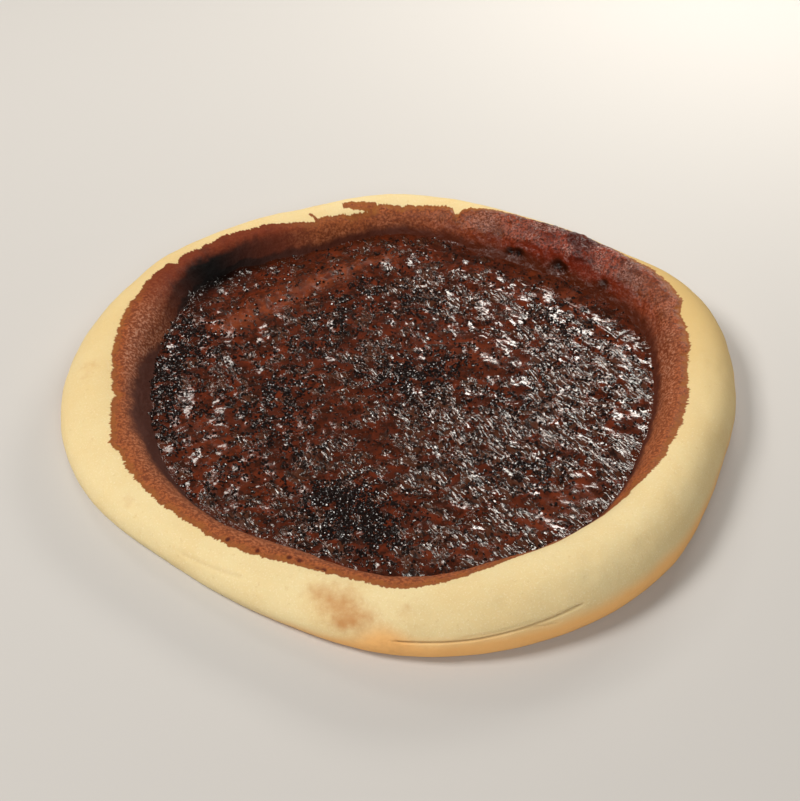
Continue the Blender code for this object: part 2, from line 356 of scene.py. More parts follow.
def smoothstep(low, high, value):
    """0 below low, 1 above high, and smooth between."""
    share = min(1.0, max(0.0, (value - low) / (high - low)))
    return share * share * (3.0 - 2.0 * share)


def bell(distance, reach):
    """1 at no distance, falling smoothly to nothing over about twice the reach."""
    return math.exp(-(distance / reach) ** 2)


def lumps(spot, *sizes):
    """Random height at a place: a sum of noises, each with its height and its length."""
    return sum(height * noise.noise(spot / length) for height, length in sizes)


def around(values, angle):
    """Values that are even directions apart, read in between by a smooth closed curve."""
    place = angle / (2.0 * math.pi) * len(values)
    step = math.floor(place)
    return blend(*(values[(step + offset) % len(values)] for offset in (-1, 0, 1, 2)), place - step)


def turn_between(angle, degrees):
    """The turn in degrees from a direction in degrees to an angle, the short way."""
    return (math.degrees(angle) - degrees + 180.0) % 360.0 - 180.0


def toward(angle, degrees, spread):
    """1 in a direction, falling smoothly to nothing at about twice the spread."""
    return bell(turn_between(angle, degrees), spread)


def near(point, place, radius):
    """1 at a place, falling smoothly to nothing over about twice the radius."""
    return bell((point - Vector(place)).length, radius)


def directions(count):
    """Even directions round the pizza."""
    return [2.0 * math.pi * step / count for step in range(count)]


def rim_at(angle):
    """Outer radius, crest height and width of the rim in a direction."""
    return [around(column, angle) for column in zip(*RIM)]


def section_at(place):
    """Shares of width and height at a place from 0 to 1 along the section."""
    last = len(SECTION) - 1
    step = min(int(place * last), last - 1)
    rows = [SECTION[min(max(step + offset, 0), last)] for offset in (-1, 0, 1, 2)]
    return [blend(*column, place * last - step) for column in zip(*rows)]


def rim_point(angle, place, rim=None):
    """Radius and height on the rim, in a direction and at a place along the section."""
    outer, crest, width = rim or rim_at(angle)
    across, up = section_at(place)
    wall = FLOOR + up * (crest - FLOOR)
    low, high = INNER_WALL_FROM - INNER_WALL_BLEND, INNER_WALL_FROM + INNER_WALL_BLEND
    inner = smoothstep(low, high, across)
    radius = outer - across * width
    height = up * crest + (wall - up * crest) * inner
    if place < 1.0:
        spot = Vector((radius * math.cos(angle), radius * math.sin(angle), height))
        relief = RIM_RELIEF * noise.noise(spot / RIM_RELIEF_LENGTH) * min(1.0, 4.0 * up)
        radius += relief
        height += relief * smoothstep(0.5, 1.0, up)
    return radius, max(height, 0.0)


def place_across(reach, width):
    """The place along the section that lies a given reach in from the outside."""
    low, high = 0.3, 1.0
    for _ in range(24):
        middle = (low + high) / 2.0
        if section_at(middle)[0] * width < reach:
            low = middle
        else:
            high = middle
    return low


def chocolate_edge(angle):
    """How far in from the outside the chocolate starts, with its tongues and bays."""
    reach = around(CHOCOLATE_EDGE, angle)
    for degrees, depth, spread in EDGE_BAYS:
        reach += depth * toward(angle, degrees, spread)
    spot = Vector((math.cos(angle), math.sin(angle), 0.3))
    return reach + 1.1 * noise.noise(spot * 22.0) + 0.6 * noise.noise(spot * 60.0)


def pool_height(x, y, depth):
    """How far the top of the chocolate lies above the floor of the dish."""
    height = GAP + depth
    height += POOL_RELIEF * noise.noise(Vector((x, y, 5.0)) / POOL_RELIEF_LENGTH)
    distance = math.hypot(x - MOUND_CENTRE[0], y - MOUND_CENTRE[1])
    height += MOUND_HEIGHT * (1.0 - smoothstep(0.3, 1.0, distance / MOUND_RADIUS))
    turn = math.degrees(math.atan2(y, x)) % 360.0
    along = smoothstep(RIDGE_FROM - RIDGE_FADE, RIDGE_FROM + RIDGE_FADE, turn)
    along *= 1.0 - smoothstep(RIDGE_TO - RIDGE_FADE, RIDGE_TO + RIDGE_FADE, turn)
    off = (math.hypot(x, y) - RIDGE_RADIUS) / RIDGE_WIDTH
    return height + RIDGE_HEIGHT * along * math.exp(-off * off)


def position(angle, point):
    """The place in space of a section point in a direction."""
    return Vector((point[0] * math.cos(angle), point[0] * math.sin(angle), point[1]))


def dough_middle():
    """The middle of the dough's outline, which the pizza is centred on."""
    outline = []
    for angle in directions(CAD_SLICES):
        rim = rim_at(angle)
        outline += [position(angle, rim_point(angle, step * 0.02, rim)) for step in range(25)]
    xs, ys = [point.x for point in outline], [point.y for point in outline]
    return Vector(((min(xs) + max(xs)) / 2.0, (min(ys) + max(ys)) / 2.0, 0.0))


MIDDLE = dough_middle()


def rim_rows(slices, further):
    """Each slice's angle, rim, reach of the chocolate's edge, and place along the section there."""
    rows = []
    for angle in directions(slices):
        rim, edge = rim_at(angle), chocolate_edge(angle)
        rows.append((angle, rim, edge, place_across(edge + further, rim[2])))
    return rows


def from_segment(point, start, end):
    """Distance from a point to a straight segment."""
    along = end - start
    share = min(1.0, max(0.0, (point - start).dot(along) / along.length_squared))
    return (point - start - along * share).length


def crease_depth(angle, point):
    """How deep the creases cut at a place on the outside of the rim."""
    depth = 0.0
    for stops, deepest, width in CREASES:
        turn = turn_between(angle, stops[0][0])
        if not -CREASE_MARGIN < turn < CREASE_MARGIN + stops[-1][0] - stops[0][0]:
            continue
        spots = [Vector((degrees * MM_PER_DEGREE, height)) for degrees, height in stops]
        here = Vector((math.degrees(angle) % 360.0 * MM_PER_DEGREE, point.z))
        distance = min(from_segment(here, a, b) for a, b in zip(spots, spots[1:]))
        depth = max(depth, deepest * bell(distance, width))
    return depth


def dough_relief(angle, point, bubbling):
    """How far the dough stands out of its smooth form, less its dents and creases."""
    relief = lumps(point, (bubbling, 13.0), (0.3 * bubbling, 5.0))
    for *place, radius, depth in DENTS:
        relief -= depth * near(point, place, radius)
    for *place, radius, depth in HOLLOWS:
        relief -= depth * near(point + MIDDLE, place, radius)
    if point.z > CREASES_ABOVE:
        relief -= crease_depth(angle, point)
    return relief


def new_piece(name, bm, finish, slot, *nodes):
    """Make an object of a bmesh, riding on the pizza in place of its CAD nodes."""
    mesh = bpy.data.meshes.new(name)
    bm.to_mesh(mesh)
    bm.free()
    mesh.shade_smooth()
    mesh.materials.append(finish)
    piece = bpy.data.objects.new(name, mesh)
    bpy.context.scene.collection.objects.link(piece)
    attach(piece, BODY)
    if nodes:
        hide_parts(*nodes)
    return piece


def keep(vertex, layers, **values):
    """Keep numbers on a vertex, for the finishes."""
    for name, value in values.items():
        vertex[layers[name]] = value


def kept_layers(bm, *names):
    """New layers of numbers on the vertices, by name."""
    for name in names:
        bm.verts.layers.float.new(name)
    return {name: bm.verts.layers.float[name] for name in names}


def ring_grid(columns, slices, *names):
    """A flat grid with a column for each place along a section and a row for each slice."""
    bm = bmesh.new()
    bmesh.ops.create_grid(bm, x_segments=columns - 1, y_segments=slices, size=0.5)
    return bm, kept_layers(bm, *names)


def grid_places(bm, columns, slices):
    """Each vertex of a ring grid with its column and its slice."""
    for vertex in bm.verts:
        column = round((vertex.co.x + 0.5) * (columns - 1))
        yield vertex, column, round((vertex.co.y + 0.5) * slices) % slices


def close_up(bm):
    """Join the seam and the poles of a ring grid and turn its faces outward."""
    bmesh.ops.remove_doubles(bm, verts=bm.verts, dist=0.004 * MM)
    bmesh.ops.recalc_face_normals(bm, faces=bm.faces)


def smear_cover(point):
    """Millimetres inside the nearest streak of chocolate, or outside it where less than 0."""
    return max(
        half - from_segment(point, Vector(start), Vector(end)) for start, end, half in SMEARS
    )


def toned_height(angle, spot):
    """The height that the dough is coloured by, lowered on the lower right flank as painted shade.
    """
    place, radius, lift = TONED_PLACE
    height = spot.z + lift * near(spot, place, radius)
    return height + sum(
        lift * toward(angle, degrees, spread) for degrees, spread, lift in TONED_TURNS
    )


class PIZZA_OT_dough(bpy.types.Operator):
    """Model the dough with its rim"""

    bl_idname = "pizza.dough"
    bl_label = "Dough"

    def execute(self, context):
        settings = context.scene.pizza_dough
        top = FLOOR_STEPS + WALL_STEPS
        columns = top + settings.rim_steps + 3
        bm, layers = ring_grid(
            columns, settings.slices, "edge_mm", "toast", "height_mm", "up_wall", "crease", "gloom",
            "pink", "golden", "blister")
        rows = rim_rows(settings.slices, 0.0)
        for vertex, column, slice_ in grid_places(bm, columns, settings.slices):
            angle, rim, edge, edge_place = rows[slice_]
            if column < FLOOR_STEPS:
                radius, height = rim_point(angle, 1.0)
                place, point = 1.0, (radius * column / FLOOR_STEPS, height)
            elif column < top:
                place = 1.0 - (1.0 - edge_place) * (column - FLOOR_STEPS) / WALL_STEPS
                point = rim_point(angle, place, rim)
            elif column <= top + settings.rim_steps:
                place = edge_place * (1.0 - (column - top) / settings.rim_steps)
                point = rim_point(angle, place, rim)
            else:
                under = 0.6 if column < columns - 1 else 0.0
                place, point = -1.0, (rim_point(angle, 0.0, rim)[0] * under, 0.0)
            spot = position(angle, point) - MIDDLE
            vertex.co = spot * MM
            inside = (rim[0] - point[0]) - edge if place > STAIN_FROM else FAR_OUTSIDE
            smear = smear_cover(spot) if place > SMEARS_FROM else FAR_OUTSIDE
            creased = spot.z > CREASES_ABOVE and place > 0.0
            keep(
                vertex, layers, edge_mm=max(inside, smear), height_mm=toned_height(angle, spot),
                toast=sum(strength * near(spot, at, radius) for *at, radius, strength in TOAST),
                up_wall=(spot.z - WALL_BASE) / (rim[1] - WALL_BASE),
                crease=crease_depth(angle, spot) if creased else 0.0, gloom=gloom(angle),
                pink=painted_sheen_share(angle), golden=golden_and_shade_share(angle), blister=blistered(angle))
        close_up(bm)
        bm.normal_update()
        moves = []
        for vertex in bm.verts:
            spot = vertex.co / MM
            if spot.z < STILL_BELOW:
                continue
            angle = math.atan2(spot.y, spot.x)
            lift = dough_relief(angle, spot, settings.bubbling)
            lift *= smoothstep(STILL_BELOW, 4.0, spot.z)
            moves.append((vertex, vertex.normal * (lift * MM)))
        for vertex, move in moves:
            vertex.co += move
        new_piece("dough", bm, dough_finish(), "baked_dough", "crust")
        return {"FINISHED"}


def gloom(angle):
    """How much painted shade the chocolate gets at the foot of the wall and on the pool beside it:
    most on the far left, where the rim shades it.
    """
    return toward(angle, 136.0, 20.0)


def golden_and_shade_share(angle):
    """How much gold tint the top of the rim has: most on the far right, where it also stands for
    painted shade, and a little on the far left.
    """
    return min(1.0, 0.08 + 0.92 * toward(angle, 30.0, 38.0) + 0.45 * toward(angle, 150.0, 35.0))


def painted_sheen_share(angle):
    """How much painted sheen the dried chocolate gets, lighter and rosier, with pale specks: most
    on the left and the right, where the light catches it.
    """
    return max(toward(angle, 168.0, 22.0), 0.8 * toward(angle, 5.0, 24.0), 0.3)


def blistered(angle):
    """How blistered the dried chocolate is: most at the far right."""
    return toward(angle, 48.0, 31.0)


def film_relief(angle, spot):
    """How far the dried chocolate stands out, with its blisters on the far right of the rim."""
    blisters = 1.5 * abs(noise.noise(spot / 6.0)) + 0.5 * noise.noise(spot / 2.6)
    return lumps(spot, (0.16, 5.0), (0.1, 1.9)) + blistered(angle) * blisters


class PIZZA_OT_film(bpy.types.Operator):
    """Model the chocolate that climbs the rim"""

    bl_idname = "pizza.film"
    bl_label = "Chocolate on the Rim"

    def execute(self, context):
        settings = context.scene.pizza_chocolate
        columns = FILM_TOP_STEPS + FILM_UNDER_STEPS + 1
        bm, layers = ring_grid(
            columns, FILM_SLICES, "edge_mm", "up_wall", "gloom", "blister", "pink")
        bubbling = context.scene.pizza_dough.bubbling
        rows = rim_rows(FILM_SLICES, FILM_START)
        for vertex, column, slice_ in grid_places(bm, columns, FILM_SLICES):
            angle, rim, edge, start = rows[slice_]
            top = column <= FILM_TOP_STEPS
            share = column / FILM_TOP_STEPS
            if not top:
                share = 1.0 - (column - FILM_TOP_STEPS) / FILM_UNDER_STEPS
            place = start + (FILM_FOOT - start) * share
            here = position(angle, rim_point(angle, place, rim))
            further = position(angle, rim_point(angle, place - STEP_BACK, rim))
            sideways = Vector((-math.sin(angle), math.cos(angle), 0.0))
            out = sideways.cross(here - further).normalized()
            inside = (rim[0] - math.hypot(here.x, here.y)) - edge
            lift = dough_relief(angle, here - MIDDLE, bubbling)
            if top:
                lift += (GAP + settings.film) * smoothstep(0.3, 4.5, inside) - FILM_EDGE_SUNK
                lift += film_relief(angle, here) * smoothstep(0.8, 4.0, inside)
            else:
                lift -= FILM_UNDERSIDE
            spot = here + out * lift - MIDDLE
            vertex.co = spot * MM
            # Hollows are painted dark: painted shade in the dents, and char at the small ones.
            sunk = max(near(here, at, radius) for *at, radius, _ in HOLLOWS)
            height = (here.z - WALL_BASE) / (rim[1] - WALL_BASE) - 0.8 * sunk
            # The wall is painted lighter at 158 degrees, a painted highlight, and darker at 190
            # degrees, painted shade.
            height += 0.5 * toward(angle, 158.0, 8.0) - 0.45 * toward(angle, 190.0, 24.0)
            keep(
                vertex, layers, edge_mm=inside, up_wall=height, gloom=max(gloom(angle), sunk),
                blister=blistered(angle), pink=painted_sheen_share(angle))
        close_up(bm)
        new_piece("chocolate_on_rim", bm, film_finish(), "baked_chocolate", "chocolate_spread")
        return {"FINISHED"}


def pool_outline(angle):
    """Radius that the pool reaches, a little way inside the wall of the rim."""
    outer, _, width = rim_at(angle)
    return outer - POOL_SHARE * width


# The section over the inner wall, read once.
WALL = [section_at(0.5 + step / 400.0) for step in range(201)]
WALL_ACROSS = [across for across, _ in WALL]


def film_height(x, y):
    """Height of the chocolate on the inner wall above a place near the pool's edge."""
    outer, crest, width = rim_at(math.atan2(y, x))
    across = (outer - math.hypot(x, y)) / width
    step = min(max(bisect.bisect(WALL_ACROSS, across), 1), len(WALL) - 1)
    up, slope = WALL[step][1], (WALL[step - 1][1] - WALL[step][1]) * (crest - FLOOR)
    slope /= max(WALL[step][0] - WALL[step - 1][0], 1e-6) * width
    return FLOOR + up * (crest - FLOOR) + (GAP + FILM_THICKNESS) * math.sqrt(1.0 + slope * slope)


def by_line(x, y, start, end, reach):
    """1 on a straight line, falling smoothly to nothing over about twice the reach."""
    return bell(from_segment(Vector((x, y)), Vector(start), Vector(end)), reach)


def share_of(x, y, spots):
    """How much a place on the pool gets of all spots, which have a place, a reach and a share."""
    return sum(share * bell(math.hypot(x - cx, y - cy), reach) for cx, cy, reach, share in spots)


def redness(x, y):
    """How red and smooth the pool is at a place, from 0 to 1."""
    return max(
        strength * by_line(x, y, start, end, half) for start, end, half, strength in RED_STRETCHES
    )


def ripple(x, y):
    """Height of the long ripples at a place on the pool."""
    return sum(height * by_line(x, y, start, end, RIPPLE_WIDTH) for start, end, height in RIPPLES)


def grainy(x, y):
    """How thickly granules lie at a place on the pool, from 0 to 1."""
    return min(1.0, share_of(x, y, GRANULE_CLUSTERS))


def strewn(x, y):
    """How thickly granules lie at a place, with the gaps between their small clumps."""
    share = grainy(x, y)
    clump = noise.noise(Vector((x, y, 0.0)) / 5.5) + 0.35 * share * share
    return (0.1 + share) * smoothstep(-0.1, 0.16, clump)


def wrinkled(x, y):
    """How thickly wrinkled the pool is at a place, from 0 to 1."""
    share = share_of(x, y, WRINKLED)
    share += 0.24 + 0.6 * noise.noise(Vector((x, y, 20.0)) / 7.0) - 1.8 * redness(x, y)
    return min(1.0, max(0.0, share))


def shore(x, y):
    """Distance from a place on the pool to its edge."""
    return pool_outline(math.atan2(y, x)) - math.hypot(x, y)


def on_pool(vertex):
    """The place on the pool of a vertex of its grid."""
    return vertex.co.x / MM + MIDDLE.x, vertex.co.y / MM + MIDDLE.y


def pool_surface(x, y, depth, folded_share):
    """Height of the pool's skin, with its lumps, folds and raised edge."""
    spot = Vector((x, y, 0.0))
    height = FLOOR + pool_height(x, y, depth)
    height += lumps(spot, (0.95, 8.5), (0.3, 4.2))
    far = spot / 15.0
    bent = spot + Vector((noise.noise(far), noise.noise(far + Vector((9.0, 4.0, 2.0))), 0.0)) * 5.0
    across = bent.x * 0.84 + bent.y * 0.54
    along = -bent.x * 0.54 + bent.y * 0.84
    fold = noise.noise(Vector((across / 3.2, along / 9.0, 3.0)))
    height += (0.1 + 0.6 * folded_share) * abs(fold) - 0.15 + ripple(x, y)
    if shore(x, y) > SHORE_WIDTH:
        return height
    wall = film_height(x, y) - SHORE_DROP + lumps(spot, (1.0, 5.0), (0.5, 2.0))
    return max(height, wall) + SHORE_BLEND * math.log1p(math.exp(-abs(height - wall) / SHORE_BLEND))


class PIZZA_OT_pool(bpy.types.Operator):
    """Model the chocolate that fills the dish"""

    bl_idname = "pizza.pool"
    bl_label = "Chocolate Pool"

    def execute(self, context):
        settings = context.scene.pizza_chocolate
        bm = bmesh.new()
        bmesh.ops.create_grid(
            bm, x_segments=settings.pool_cells, y_segments=settings.pool_cells, size=POOL_HALF * MM)
        outside = [vertex for vertex in bm.verts if shore(*on_pool(vertex)) < 0.0]
        bmesh.ops.delete(bm, geom=outside, context="VERTS")
        layers = kept_layers(bm, "wrinkled", "shore_mm", "gloom", "red", "grainy")
        for vertex in bm.verts:
            x, y = on_pool(vertex)
            share = wrinkled(x, y)
            keep(
                vertex, layers, wrinkled=share, shore_mm=shore(x, y),
                gloom=gloom(math.atan2(y, x)), red=redness(x, y), grainy=strewn(x, y))
            vertex.co.z = pool_surface(x, y, settings.pool_depth, share) * MM
        rim = [edge for edge in bm.edges if edge.is_boundary]
        walls = bmesh.ops.extrude_edge_only(bm, edges=rim)["geom"]
        for vertex in (item for item in walls if isinstance(item, bmesh.types.BMVert)):
            vertex.co.z = (FLOOR + SKIRT_HEIGHT) * MM
        bmesh.ops.holes_fill(bm, edges=[edge for edge in bm.edges if edge.is_boundary], sides=0)
        bmesh.ops.recalc_face_normals(bm, faces=bm.faces)
        new_piece("chocolate_pool", bm, pool_finish(), "baked_chocolate", "chocolate_spread")
        return {"FINISHED"}


def cad_granule_places(random_):
    """Places of the largest granules, evenly apart."""
    sizes = [random_.uniform(*CAD_GRANULE_SIZE) for _ in range(CAD_GRANULES)]
    sizes.sort(reverse=True)
    places = []
    tries = 0
    while len(places) < CAD_GRANULES and tries < CAD_GRANULE_TRIES:
        tries += 1
        angle = random_.uniform(0.0, 2.0 * math.pi)
        radius = CAD_GRANULE_REACH * math.sqrt(random_.random())
        if radius > rim_point(angle, 1.0)[0] - CAD_GRANULE_MARGIN:
            continue
        x, y = radius * math.cos(angle), radius * math.sin(angle)
        if any(math.hypot(x - px, y - py) < CAD_GRANULE_SPACING for px, py, _ in places):
            continue
        places.append((x, y, sizes[len(places)]))
    return places


def small_granule_places(random_, count):
    """Places of the small granules, thick in the clusters and thin between them."""
    places = []
    while len(places) < count:
        angle = random_.uniform(0.0, 2.0 * math.pi)
        radius = GRANULE_REACH * math.sqrt(random_.random())
        if radius > pool_outline(angle) - GRANULE_MARGIN:
            continue
        x, y = radius * math.cos(angle), radius * math.sin(angle)
        if random_.random() < strewn(x, y):
            places.append((x, y, random_.uniform(*GRANULE_SIZE)))
    return places


def add_granule(bm, surface, place, random_):
    """Add one rough crystal, sunk part of the way into the chocolate."""
    x, y, size = place
    hit = surface.ray_cast((Vector((x, y, 60.0)) - MIDDLE) * MM, Vector((0.0, 0.0, -1.0)))[0]
    if hit is None:
        raise RuntimeError(f"no chocolate under the granule at {x:.1f}, {y:.1f}")
    turn = Matrix.Rotation(random_.uniform(0.0, math.tau), 4, "Z")
    tip = Matrix.Rotation(random_.uniform(0.0, math.tau), 4, "X")
    stretch = Matrix.Diagonal((
        random_.uniform(0.8, 1.25), random_.uniform(0.75, 1.1), random_.uniform(0.7, 1.0), 1.0))
    seat = Matrix.Translation(hit + Vector((0.0, 0.0, GRANULE_LIFT * size * MM)))
    made = bmesh.ops.create_icosphere(
        bm, subdivisions=1, radius=size * 0.5 * MM, matrix=seat @ turn @ tip @ stretch)
    for vertex in made["verts"]:
        vertex.co += Vector([
            random_.uniform(-GRANULE_ROUGHNESS, GRANULE_ROUGHNESS) * size * MM for _ in range(3)
        ])


class PIZZA_OT_granules(bpy.types.Operator):
    """Strew the sugar granules over the pool"""

    bl_idname = "pizza.granules"
    bl_label = "Sugar Granules"

    def execute(self, context):
        settings = context.scene.pizza_chocolate
        random_ = random.Random(GRANULE_SEED)
        places = [
            (x + MIDDLE.x, y + MIDDLE.y, size * CAD_GRANULE_SHRINK)
            for x, y, size in cad_granule_places(random_)
        ]
        places += small_granule_places(random_, settings.granules - len(places))
        pool = bpy.data.objects["chocolate_pool"].data
        surface = BVHTree.FromPolygons(
            [vertex.co for vertex in pool.vertices], [face.vertices for face in pool.polygons])
        bm = bmesh.new()
        handful = bpy.data.meshes.new("handful")
        for first in range(0, len(places), GRANULES_AT_ONCE):
            few = bmesh.new()
            for place in places[first:first + GRANULES_AT_ONCE]:
                add_granule(few, surface, place, random_)
            few.to_mesh(handful)
            few.free()
            bm.from_mesh(handful)
        bpy.data.meshes.remove(handful)
        piece = new_piece(
            "sugar_granules", bm, granule_finish(), "baked_chocolate", "chocolate_spread")
        piece.data.shade_flat()
        return {"FINISHED"}


class Finish:
    """A material with a Principled shader, and short ways to add nodes to it."""

    def __init__(self, name):
        self.material = bpy.data.materials.new(name)
        self.material.use_nodes = True
        self.tree = self.material.node_tree
        self.shader = self.tree.nodes["Principled BSDF"]
        self.coordinates = self.tree.nodes.new("ShaderNodeTexCoord").outputs["Object"]

    def feed(self, socket, value):
        """Give a socket a value, or link another socket to it."""
        if isinstance(value, bpy.types.NodeSocket):
            self.tree.links.new(value, socket)
        else:
            socket.default_value = (*value, 1.0) if socket.type == "RGBA" else value

    def node(self, kind, inputs, **settings):
        """A new node with its settings and its inputs, which are values or sockets."""
        made = self.tree.nodes.new(kind)
        for key, value in settings.items():
            setattr(made, key, value)
        for key, value in inputs.items():
            self.feed(made.inputs[key], value)
        return made

    def noise(self, scale, detail=3.0, roughness=0.5, coordinates=None):
        """Noise of a given scale per metre."""
        return self.node("ShaderNodeTexNoise", {
            "Vector": coordinates or self.coordinates, "Scale": scale, "Detail": detail,
            "Roughness": roughness}).outputs["Fac"]

    def range(self, value, low, high, to_low=0.0, to_high=1.0, smooth=True):
        """Map a value from one range to another."""
        return self.node("ShaderNodeMapRange", {
            "Value": value, "From Min": low, "From Max": high, "To Min": to_low, "To Max": to_high},
            interpolation_type="SMOOTHSTEP" if smooth else "LINEAR").outputs["Result"]

    def swing(self, value, edge, reach):
        """Noise that lies within edge of its middle, mapped evenly to -reach and reach."""
        return self.range(value, 0.5 - edge, 0.5 + edge, -reach, reach, False)

    def math(self, operation, a, b=0.0):
        """One sum on two values."""
        return self.node("ShaderNodeMath", {0: a, 1: b}, operation=operation).outputs[0]

    def times(self, a, b):
        """Two values multiplied."""
        return self.math("MULTIPLY", a, b)

    def plus(self, a, b):
        """Two values added."""
        return self.math("ADD", a, b)

    def vector(self, operation, a, b=(0.0, 0.0, 0.0)):
        """One sum on two vectors."""
        made = self.node("ShaderNodeVectorMath", {0: a, 1: b}, operation=operation)
        return made.outputs["Vector"]

    def mix(self, share, a, b):
        """Mix two colours."""
        made = self.node("ShaderNodeMix", {0: share, 6: a, 7: b}, data_type="RGBA")
        return made.outputs[2]

    def tone(self, value, low, high, a, b, most=1.0):
        """Colour that goes from a to b, or most of the way, as a value goes from low to high."""
        return self.mix(self.range(value, low, high, 0.0, most), a, b)

    def kept(self, *names):
        """Numbers kept on the mesh's vertices."""
        made = [self.node("ShaderNodeAttribute", {}, attribute_name=name) for name in names]
        return [node.outputs["Fac"] for node in made]

    def bump(self, height, distance, strength=1.0, below=None):
        """Bump from a height, over another bump if there is one."""
        inputs = {"Height": height, "Distance": distance, "Strength": strength}
        if below is not None:
            inputs["Normal"] = below
        return self.node("ShaderNodeBump", inputs).outputs["Normal"]

    def set(self, **values):
        """Feed the shader's own inputs."""
        for name, value in values.items():
            self.feed(self.shader.inputs[name.replace("_", " ")], value)


def feathered(mat, inside):
    """The distance inside the chocolate's edge, with short feathery teeth that point outward."""
    ring = mat.vector("MULTIPLY", mat.coordinates, (1.0, 1.0, 0.0))
    ring = mat.vector("MULTIPLY", mat.vector("NORMALIZE", ring), (0.14, 0.14, 0.14))
    lift = mat.node("ShaderNodeCombineXYZ", {"Z": mat.times(inside, 0.0004)})
    spot = mat.vector("ADD", ring, lift.outputs[0])
    teeth = mat.swing(mat.noise(900.0, 1.5, 0.5, spot), 0.25, 0.75)
    wobble = mat.swing(mat.noise(260.0, 2.0), 0.25, 0.6)
    return mat.plus(inside, mat.plus(teeth, wobble))


def chocolate_on_rim_colour(mat, inside):
    """Colour of the dry chocolate by how far inside its edge it lies, in millimetres, with its
    painted sheen, glints and shade.
    """
    chocolate = bpy.context.scene.pizza_chocolate
    pink, blister, painted_shade_, up_wall = mat.kept("pink", "blister", "gloom", "up_wall")
    fuzz = mat.noise(750.0, 3.0, 0.7)
    brown = mat.tone(fuzz, 0.36, 0.64, BROWN_DARK, BROWN_LIGHT)
    film = mat.tone(fuzz, 0.38, 0.62, FILM_DARK, chocolate.film_colour)
    # Where the painted sheen lies the chocolate is lighter, with pale rosy specks of painted
    # highlight; elsewhere it is browner.
    sheen_flecks = mat.times(mat.range(fuzz, 0.48, 0.64, 0.0, 0.9), mat.range(inside, 3.0, 8.0))
    film = mat.mix(pink, brown, mat.mix(sheen_flecks, film, FILM_SHEEN_FLECK))
    wine = mat.tone(fuzz, 0.36, 0.62, WINE_DARK, WINE_LIGHT)
    # Dark patches between the bulges of the blistered chocolate: painted shade.
    bulge_shade = mat.range(mat.noise(75.0, 2.0), 0.38, 0.6, 0.85, 0.0)
    # Patches of fine pale rosy specks over the blistered chocolate: painted glints.
    painted_glints = mat.range(mat.noise(1100.0, 2.0, 0.6), 0.46, 0.62, 0.0, 0.75)
    painted_glints = mat.times(painted_glints, mat.range(mat.noise(85.0, 2.0), 0.47, 0.6))
    wine = mat.mix(painted_glints, mat.mix(bulge_shade, wine, WINE_PAINTED_SHADE), PAINTED_GLINT)
    thin = mat.noise(300.0, 4.0, 0.6)
    thin = mat.tone(thin, 0.35, 0.7, chocolate.stain_colour, FILM_THIN)
    band = mat.range(mat.plus(inside, mat.swing(mat.noise(210.0), 0.2, 1.2)), 1.0, 3.8)
    colour = mat.mix(band, thin, mat.mix(blister, film, wine))
    height = mat.plus(up_wall, mat.swing(mat.noise(130.0), 0.2, 0.1))
    ember = mat.times(mat.range(height, 0.72, 0.55, 0.0, 0.75), blister)
    colour = mat.mix(ember, colour, EMBER)
    # Around the far-left shade the chocolate is tinted a dark amber, which is painted shade, less
    # so where the painted sheen lies.
    lit = mat.range(pink, 0.3, 1.0, 1.0, 0.1)
    painted_shade_tint = mat.times(mat.range(painted_shade_, 0.05, 0.5, 0.0, 0.85), lit)
    colour = mat.mix(painted_shade_tint, colour, PAINTED_SHADE_AMBER)
    # Low on the wall the chocolate takes its foot's darker colour, and on the far left near black,
    # which is painted shade.
    dark = mat.times(painted_shade_, mat.range(height, 0.95, 0.66))
    dark = mat.math("MAXIMUM", mat.range(height, 0.48, 0.12), dark)
    return mat.mix(dark, colour, mat.mix(painted_shade_, WALL_FOOT, WALL_PAINTED_SHADE))


def dough_finish():
    """Baked dough: floury above, gold-brown below, with browned blotches, painted shade in its
    creases and a chocolate stain.
    """
    dough = bpy.context.scene.pizza_dough
    mat = Finish("baked_dough_finish")
    names = ("edge_mm", "toast", "height_mm", "crease", "golden")
    inside, toast, height, crease, golden = mat.kept(*names)
    cloud = mat.noise(38.0, 4.0, 0.55)
    pale = mat.tone(cloud, 0.35, 0.68, dough.pale, FLOUR_WARM)
    pale = mat.tone(mat.noise(420.0, 3.0, 0.65), 0.6, 0.74, pale, FLOUR_SPOT, 0.4)
    pale = mat.tone(mat.noise(1300.0, 2.0, 0.6), 0.52, 0.72, pale, FLOUR_DUST, 0.45)
    # The gold tint on top, deepened on the far right as painted shade.
    pale = mat.mix(golden, pale, GOLDEN_TOP_AND_SHADE)
    low = mat.range(mat.plus(height, mat.times(cloud, 6.0)), 16.5, 8.0)
    colour = mat.mix(mat.times(low, 0.85), pale, dough.golden)
    toast = mat.plus(toast, mat.swing(mat.noise(260.0, 5.0, 0.6), 0.2, 0.16))
    colour = mat.tone(toast, 0.05, 1.1, colour, dough.toasted, 0.9)
    # The creases are painted darker brown: painted shade.
    colour = mat.tone(crease, 0.12, 0.9, colour, CREASE_SHADE_BROWN, 0.6)
    inside = feathered(mat, inside)
    stain = mat.range(inside, -0.25, 0.35)
    fine = mat.bump(mat.noise(1300.0, 4.0, 0.6), 0.00014, 0.7)
    mat.set(
        Base_Color=mat.mix(stain, colour, chocolate_on_rim_colour(mat, inside)),
        Roughness=mat.range(stain, 0.0, 1.0, 0.82, 0.62, False),
        Normal=mat.bump(mat.noise(330.0, 4.0, 0.55), 0.0005, 0.4, fine),
        Specular_IOR_Level=0.2, Subsurface_Weight=0.08, Subsurface_Scale=0.004,
        Subsurface_Radius=(1.0, 0.6, 0.3))
    return mat.material


